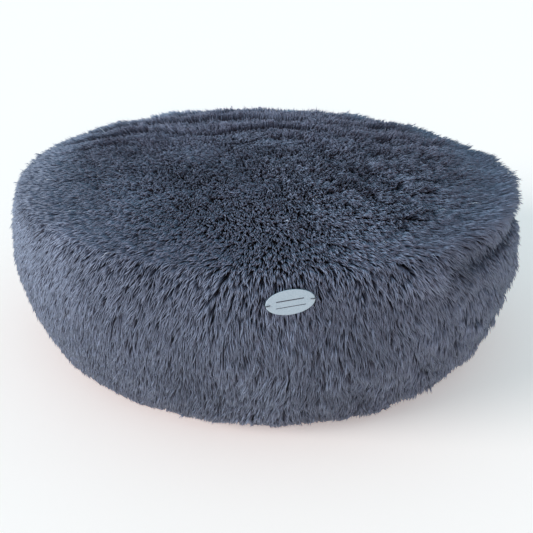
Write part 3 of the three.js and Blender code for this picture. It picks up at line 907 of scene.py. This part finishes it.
def add_zip_tapes():
    """Each tape stands flat under the slider and then hugs the inside of the band."""
    for side in ("upper", "lower"):
        (_, face), angles, heights = polar_limits(f"zip_tape_{side}")
        levels = np.linspace(*heights, TAPE_POINTS)[::-1]
        roots = PILE_ROOTS[OUTLINE_STEPS:]
        hug = np.interp(-levels, -roots[:, 1], roots[:, 0]) * FACET_SHARE - 0.3 * MM
        outer = np.stack([np.minimum(face, hug), levels], 1)
        inner = outer - [TAPE_THICKNESS, 0]
        add_cloth(f"tape_{side}", f"zip_tape_{side}", outer, inner, angles, TAPE_CLOTH)


COIL_PITCH = 1.3 * MM
COIL_WIRE = 0.3 * MM
COIL_STEPS = 10                  # places along the wire in each turn
COIL_SIDES = 4
COIL_GAP = 0.5 * MM              # from the zip's middle to the coil's heads


def tube_mesh(name, centres, outward, radius, sides):
    """A closed round wire along a path; outward is square to the path."""
    way = np.gradient(centres, axis=0)
    way /= np.linalg.norm(way, axis=1, keepdims=True)
    side = np.cross(way, outward)
    side /= np.linalg.norm(side, axis=1, keepdims=True)
    up = np.cross(side, way)
    turn = TAU * np.arange(sides) / sides
    rings = centres[:, None] + radius * (
        np.cos(turn)[None, :, None] * side[:, None] + np.sin(turn)[None, :, None] * up[:, None]
    )
    count = len(centres)
    faces = []
    for i in range(count - 1):
        for k in range(sides):
            here, beside = i * sides + k, i * sides + (k + 1) % sides
            faces.append((here, beside, beside + sides, here + sides))
    faces.append(tuple(range(sides))[::-1])
    faces.append(tuple((count - 1) * sides + k for k in range(sides)))
    mesh = bpy.data.meshes.new(name)
    mesh.from_pydata(rings.reshape(-1, 3), [], faces)
    mesh.polygons.foreach_set("use_smooth", [True] * len(faces))
    return mesh


def nylon_material():
    material = new_material("zip_nylon", (0.045, 0.055, 0.080), 0.38)
    grain = noise(material, 900.0, 3.0)
    color_by(material, grain, [(0.3, (0.034, 0.042, 0.062)), (0.7, (0.064, 0.076, 0.105))])
    set_bump(material, grain, 0.2, 0.05 * MM)
    return material


def add_zip_coils():
    """One nylon wire on each tape, coiled round the tape's inner edge."""
    nylon = nylon_material()
    for side, sign in (("upper", 1), ("lower", -1)):
        (near, far), (first, last), (low_z, high_z) = polar_limits(f"zip_coil_{side}")
        radius, reach_out = (near + far) / 2, (far - near) / 2 - COIL_WIRE
        inner_z, outer_z = COIL_GAP, max(abs(low_z - WIDEST_HEIGHT), abs(high_z - WIDEST_HEIGHT))
        middle = WIDEST_HEIGHT + sign * (inner_z + outer_z) / 2
        reach_up = (outer_z - inner_z) / 2 - COIL_WIRE
        first, last = first + COIL_WIRE / radius, last - COIL_WIRE / radius
        turns = math.floor((last - first) * radius / COIL_PITCH)
        wind = np.linspace(0, TAU * turns, turns * COIL_STEPS + 1)
        angle = first + (last - first) * wind / wind[-1]
        out = np.stack([np.cos(angle), np.sin(angle), np.zeros_like(angle)], 1)
        spot = out * radius + [0, 0, middle]
        swing = out * np.sin(wind)[:, None] * reach_out
        swing += np.array([0, 0, sign]) * np.cos(wind)[:, None] * reach_up
        mesh = tube_mesh(f"coil_{side}", spot + swing, swing, COIL_WIRE, COIL_SIDES)
        item = add_object(f"coil_{side}", mesh, CUSHION, nylon)
        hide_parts(f"zip_coil_{side}")


def metal_material():
    """Plated zinc: fine scratches along the part, and a rubbed look that comes and goes."""
    material = new_material("zip_metal", (0.50, 0.51, 0.54), 0.32, metallic=1.0)
    place = add_node(material, "ShaderNodeTexCoord")
    scratch = add_node(material, "ShaderNodeTexNoise", Scale=1400.0, Detail=4.0)
    stretch = add_node(material, "ShaderNodeMapping")
    stretch.inputs["Scale"].default_value = (1, 1, 0.12)
    join(material, place.outputs["Object"], stretch.inputs["Vector"])
    join(material, stretch.outputs["Vector"], scratch.inputs["Vector"])
    worn = noise(material, 260.0, 3.0)
    color_by(material, worn, [(0.35, (0.40, 0.41, 0.44)), (0.65, (0.62, 0.63, 0.65))])
    rub = add_node(material, "ShaderNodeMapRange")
    rub.inputs["To Min"].default_value = 0.24
    rub.inputs["To Max"].default_value = 0.44
    join(material, scratch.outputs["Fac"], rub.inputs["Value"])
    join(material, rub.outputs["Result"], principled(material).inputs["Roughness"])
    set_bump(material, scratch.outputs["Fac"], 0.15, 0.05 * MM)
    return material


def thread_material(name, color, pitch):
    """Plied thread: the plies show as slanting ridges."""
    material = new_material(name, color, 0.7, sheen=0.2)
    place = add_node(material, "ShaderNodeTexCoord")
    ply = add_node(material, "ShaderNodeTexWave", bands_direction="DIAGONAL")
    ply.inputs["Scale"].default_value = TAU / (20 * pitch)
    ply.inputs["Distortion"].default_value = 0.8
    join(material, place.outputs["Object"], ply.inputs["Vector"])
    dark, light = tuple(c * 0.6 for c in color), tuple(min(1, c * 1.3) for c in color)
    color_by(material, ply.outputs["Fac"], [(0.2, dark), (0.8, light)])
    set_bump(material, ply.outputs["Fac"], 0.6, 0.1 * MM)
    return material


def dress(node, material, bevel=0.0):
    """Gives a CAD node that stays its finish, and softens its edges."""
    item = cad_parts[node]
    if not item.material_slots:
        item.data.materials.append(material)
    item.material_slots[0].link = "OBJECT"
    item.material_slots[0].material = material
    if bevel:
        edge = item.modifiers.new("edges", "BEVEL")
        edge.width = bevel
        edge.segments = 3
        edge.limit_method = "ANGLE"
        edge.angle_limit = math.radians(40)
        edge.harden_normals = False


def dress_metal():
    metal = metal_material()
    for node in ("zip_top_stop_upper", "zip_top_stop_lower", "zip_bottom_stop"):
        dress(node, metal, 0.3 * MM)
    dress("zip_slider_body", metal, 0.15 * MM)
    dress("zip_pull_tab", metal, 0.25 * MM)


def dress_threads():
    sewing = thread_material("sewing_thread", (0.040, 0.050, 0.075), 0.8 * MM)
    natural = thread_material("case_thread", (0.72, 0.70, 0.66), 0.8 * MM)
    waxed = thread_material("label_thread", (0.020, 0.024, 0.034), 0.6 * MM)
    for name in ("top", "base", "front", "left", "right"):
        dress(f"cover_{name}_seam_thread", sewing)
    for name in ("top", "base"):
        dress(f"case_{name}_seam_thread", natural)
    for name in ("left", "right"):
        dress(f"label_stitch_{name}", waxed)


# ---- Label ----
LABEL_RINGS = 26
LABEL_SIDES = 96
LABEL_ROUND = 0.45 * MM          # the edge's rounding
LABEL_DARK = (0.27, 0.33, 0.36)
LABEL_LIGHT = (0.33, 0.39, 0.42)
RULE_COLOR = (0.030, 0.036, 0.050, 1)
DIMPLE_INSET = 4.2 * MM          # the stitches' dimples, in from the label's ends
DIMPLE_DEPTH = 0.3 * MM
DIMPLE_REACH = 1.1 * MM

# Height above the label's middle, half length and half width of each plain rule.
RULES = ((2.2 * MM, 13.5 * MM, 0.55 * MM), (-4.2 * MM, 14.5 * MM, 0.38 * MM))


def label_mesh():
    """An oval plate with a rounded edge, dimpled where its two stitches go in."""
    half_x, half_y, half_z = LABEL_HALF
    rings = 1 - (1 - np.linspace(0, 1, LABEL_RINGS)) ** 1.6
    turn = np.linspace(0, TAU, LABEL_SIDES, endpoint=False)
    x = rings[None, :] * half_x * np.cos(turn)[:, None]
    y = rings[None, :] * half_y * np.sin(turn)[:, None]
    from_edge = (1 - rings)[None, :] * half_y
    drop = np.clip(1 - from_edge / LABEL_ROUND, 0, 1)
    z = half_z - LABEL_ROUND * (1 - np.sqrt(1 - drop**2)) + 0 * x
    for sign in (-1, 1):
        away = np.hypot(x - sign * (half_x - DIMPLE_INSET), y)
        z -= DIMPLE_DEPTH * hump(away, 0, DIMPLE_REACH)
    front = np.stack([x, y, z], -1)
    back = np.stack([x, y, np.full_like(x, -half_z)], -1)
    places = [grid @ LABEL_AXES + LABEL_MIDDLE for grid in (front, back)]
    mesh = wall_mesh("label", *places, turn, rings * half_x, True)
    flat = mesh.uv_layers.new(name="Face")
    for corner in mesh.loops:
        local = LABEL_AXES @ (np.array(mesh.vertices[corner.vertex_index].co) - LABEL_MIDDLE)
        flat.data[corner.index].uv = (local[0], local[1])
    return mesh


def label_material():
    """Pale faux leather with two plain rules where a maker's words would be."""
    material = new_material("label", (0.40, 0.46, 0.49), 0.5)
    place = add_node(material, "ShaderNodeUVMap", uv_map="Face")
    split = add_node(material, "ShaderNodeSeparateXYZ")
    join(material, place.outputs["UV"], split.inputs["Vector"])
    marks = []
    for height, half_length, half_width in RULES:
        limits = (("X", 0.0, half_length), ("Y", height, half_width))
        inside = [maths(material, "COMPARE", split.outputs[axis], mid, half) for axis, mid, half in limits]
        marks.append(maths(material, "MULTIPLY", *inside))
    rules = maths(material, "MAXIMUM", *marks)
    grain = noise(material, 700.0, 5.0)
    leather = ramp(material, grain, [(0.3, LABEL_DARK), (0.7, LABEL_LIGHT)])
    mix = add_node(material, "ShaderNodeMix", data_type="RGBA")
    mix.inputs["B"].default_value = RULE_COLOR
    join(material, rules, mix.inputs["Factor"])
    join(material, leather, mix.inputs["A"])
    join(material, mix.outputs["Result"], principled(material).inputs["Base Color"])
    set_bump(material, maths(material, "MULTIPLY_ADD", rules, -1.5, grain), 0.35, 0.12 * MM)
    return material


def add_label():
    item = add_object("label", label_mesh(), CUSHION, label_material())
    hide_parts("label_plate")


add_zip_tapes()
add_zip_coils()
dress_metal()
dress_threads()
add_label()


# ---- Studio ----
CAMERA_PLACE = (0.00245, -0.858, 0.490)
CAMERA_TILT = math.radians(63)
CAMERA_ROLL = 0.021
CAMERA_LENS = 42.4
CAMERA_SENSOR = 36
FLOOR_HALF = 12.0
FLOOR_DROP = 0.3 * MM
FLOOR_COLOR = (0.99, 0.80, 0.70)
FLOOR_GLOW, FLOOR_GLOW_STRENGTH = (1, 0.96, 0.96, 1), 0.25
SKY_COLOR, SKY_STRENGTH = (0.56, 0.98, 1.20, 1), 0.62
BACKDROP_COLOR = (1, 1, 1, 1)

# Name, energy, colour, the way to the sun and its spread in degrees.
SUNS = (
    ("key", 3.6, (0.95, 0.99, 1.05), (-0.92, -0.28, 0.24), 30),
    ("fill", 1.15, (1.30, 0.85, 0.82), (0.05, -0.95, 0.22), 50),
)


def add_camera():
    data = bpy.data.cameras.new("camera")
    data.lens = CAMERA_LENS
    data.sensor_width = CAMERA_SENSOR
    camera = bpy.data.objects.new("camera", data)
    tilt = Matrix.Rotation(CAMERA_TILT, 4, "X")
    camera.matrix_world = Matrix.Translation(CAMERA_PLACE) @ tilt @ Matrix.Rotation(CAMERA_ROLL, 4, "Z")
    bpy.context.scene.collection.objects.link(camera)
    bpy.context.scene.camera = camera


def add_floor():
    mesh = bpy.data.meshes.new("floor")
    signs = ((-1, -1), (1, -1), (1, 1), (-1, 1))
    mesh.from_pydata([(x * FLOOR_HALF, y * FLOOR_HALF, -FLOOR_DROP) for x, y in signs], [], [(0, 1, 2, 3)])
    floor = bpy.data.objects.new("floor", mesh)
    bpy.context.scene.collection.objects.link(floor)
    pale = new_material("floor", FLOOR_COLOR, 0.9)
    principled(pale).inputs["Emission Color"].default_value = FLOOR_GLOW
    principled(pale).inputs["Emission Strength"].default_value = FLOOR_GLOW_STRENGTH
    mesh.materials.append(pale)


def add_sun(name, energy, color, towards, spread):
    sun = bpy.data.lights.new(name, "SUN")
    sun.energy = energy
    sun.color = color
    sun.angle = math.radians(spread)
    light = bpy.data.objects.new(name, sun)
    light.rotation_mode = "QUATERNION"
    light.rotation_quaternion = Vector(towards).to_track_quat("Z", "Y")
    bpy.context.scene.collection.objects.link(light)


def add_light():
    world = bpy.data.worlds.new("studio")
    bpy.context.scene.world = world
    world.use_nodes = True
    nodes, links = world.node_tree.nodes, world.node_tree.links
    light = nodes["Background"]
    light.inputs["Color"].default_value = SKY_COLOR
    light.inputs["Strength"].default_value = SKY_STRENGTH
    backdrop = nodes.new("ShaderNodeBackground")
    backdrop.inputs["Color"].default_value = BACKDROP_COLOR
    seen = nodes.new("ShaderNodeLightPath")
    mix = nodes.new("ShaderNodeMixShader")
    links.new(seen.outputs["Is Camera Ray"], mix.inputs["Fac"])
    links.new(light.outputs["Background"], mix.inputs[1])
    links.new(backdrop.outputs["Background"], mix.inputs[2])
    links.new(mix.outputs["Shader"], nodes["World Output"].inputs["Surface"])
    for sun in SUNS:
        add_sun(*sun)


add_camera()
add_floor()
add_light()
bpy.context.scene.view_settings.view_transform = "Standard"
